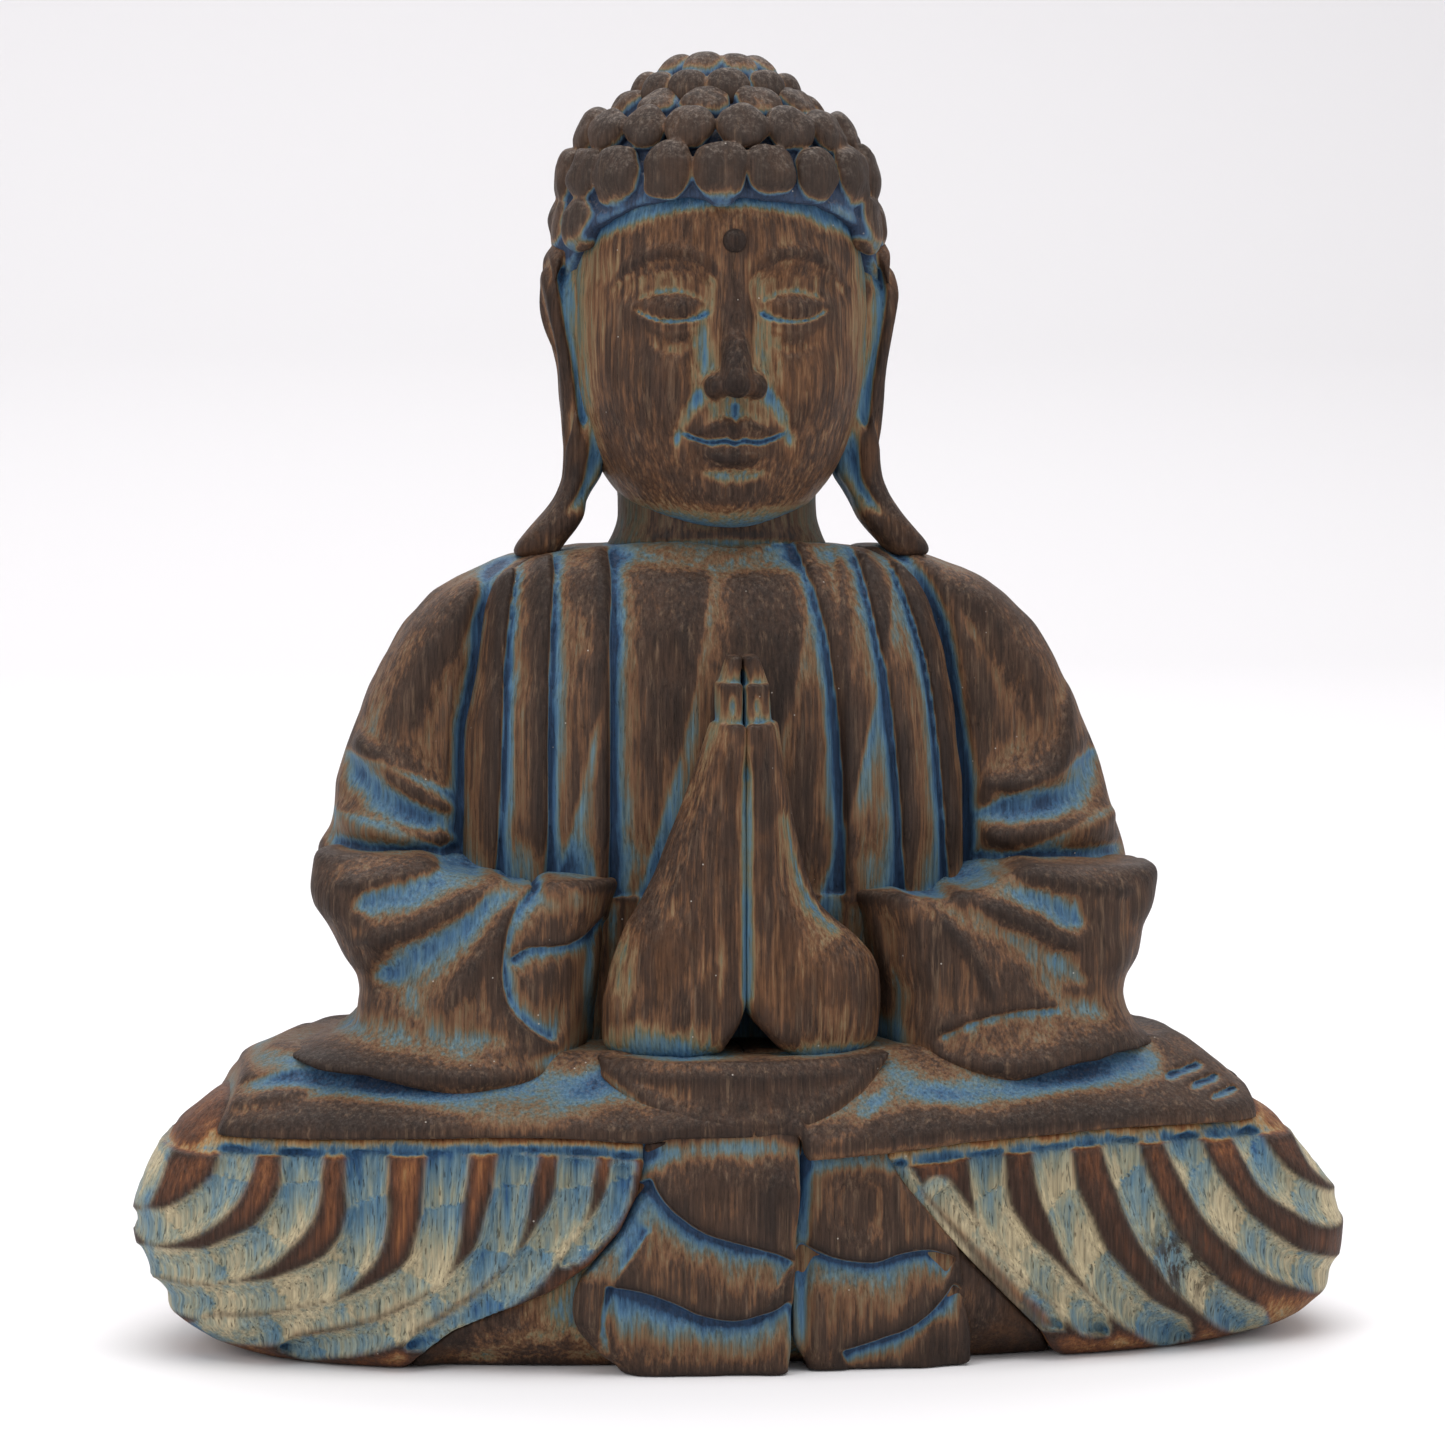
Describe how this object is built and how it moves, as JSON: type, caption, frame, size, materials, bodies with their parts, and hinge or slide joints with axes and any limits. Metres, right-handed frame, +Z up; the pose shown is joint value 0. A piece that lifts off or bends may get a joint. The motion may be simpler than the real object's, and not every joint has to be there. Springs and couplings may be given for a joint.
{
  "type": "seated praying buddha statue",
  "caption": "Carved wooden figure seated cross-legged with palms pressed together, draped robe, snail-curl hair and a flat resting base.",
  "frame": {"origin": "centre of the bounding box, on the plane the figure rests on", "axes": "+Z up through the crown of the head, -Y the way the figure faces, +X towards the figure's own left"},
  "size_m": [0.2837, 0.1332, 0.3],
  "materials": {
    "base_wood": "open-grain softwood, dark brown stain with blue wash in the recesses, matt",
    "pleat_wood": "open-grain softwood rubbed back to pale wood, blue wash in the gouged channels, matt",
    "robe_wood": "open-grain softwood, dark brown stain on the ridges, blue wash in the folds, matt",
    "skin_wood": "smooth carved wood, dark brown stain rubbed to tan at the edges, satin",
    "hair_wood": "matt grey-brown stained wood with blue wash between the curls"
  },
  "bodies": {
    "root": {"seat_block": "base_wood", "right_knee": "pleat_wood", "left_knee": "pleat_wood", "drape_center": "robe_wood", "drape_left": "robe_wood", "right_thigh_robe": "robe_wood", "left_thigh_robe": "robe_wood", "lap_fold": "robe_wood", "right_hand": "skin_wood", "left_hand": "skin_wood", "right_forearm_sleeve": "robe_wood", "left_forearm_sleeve": "robe_wood", "torso": "robe_wood", "right_upper_arm": "robe_wood", "left_upper_arm": "robe_wood", "neck": "skin_wood", "head": "skin_wood", "right_ear": "skin_wood", "left_ear": "skin_wood", "hair_cap": "hair_wood", "topknot": "hair_wood", "urna": "skin_wood"}
  },
  "joints": []
}
